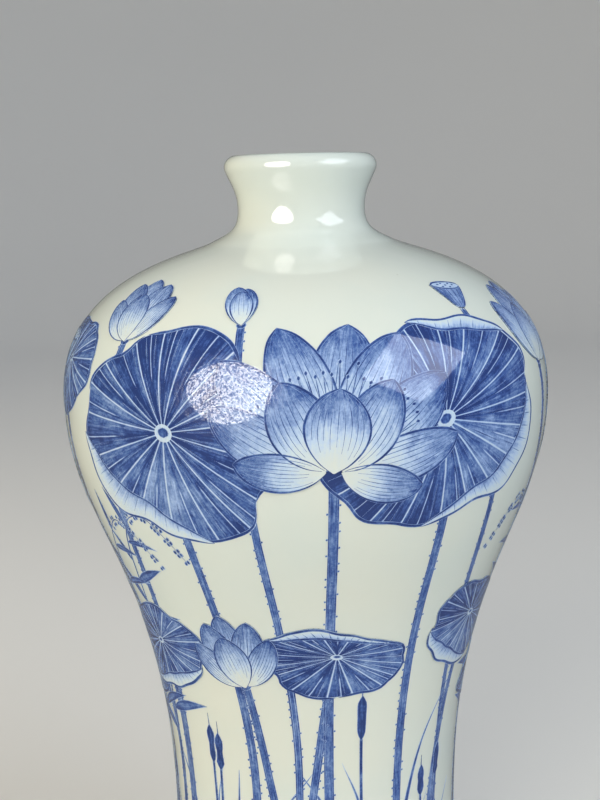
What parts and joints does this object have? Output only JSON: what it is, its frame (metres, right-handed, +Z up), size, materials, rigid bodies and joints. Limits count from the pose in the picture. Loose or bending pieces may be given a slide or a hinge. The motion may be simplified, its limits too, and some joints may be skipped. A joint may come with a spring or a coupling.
{
  "type": "meiping vase",
  "caption": "Porcelain vase with a high round shoulder, a short neck with a rolled lip, a drawn-in body and a low foot ring, for a branch or a few stems.",
  "frame": {"origin": "centre of the foot ring's resting face", "axes": "+Z up along the axis of the vase; +X to the right and -Y towards the viewer of the painted front"},
  "size_m": [0.14, 0.14, 0.25],
  "materials": {
    "porcelain_paste": "bare fired porcelain, fine matt",
    "luting_slip": "fired slip, matt, under the glaze",
    "glaze": "clear gloss glaze, white with a faint blue-green cast",
    "cobalt_underglaze": "cobalt brushwork and washes under the gloss glaze"
  },
  "bodies": {
    "root": {"neck_and_lip": "porcelain_paste", "shoulder": "porcelain_paste", "belly": "porcelain_paste", "lower_body_and_foot": "porcelain_paste", "neck_seam": "luting_slip", "belly_seam": "luting_slip", "body_seam": "luting_slip", "outer_glaze": "glaze", "inner_glaze": "glaze", "base_glaze": "glaze"}
  },
  "joints": []
}
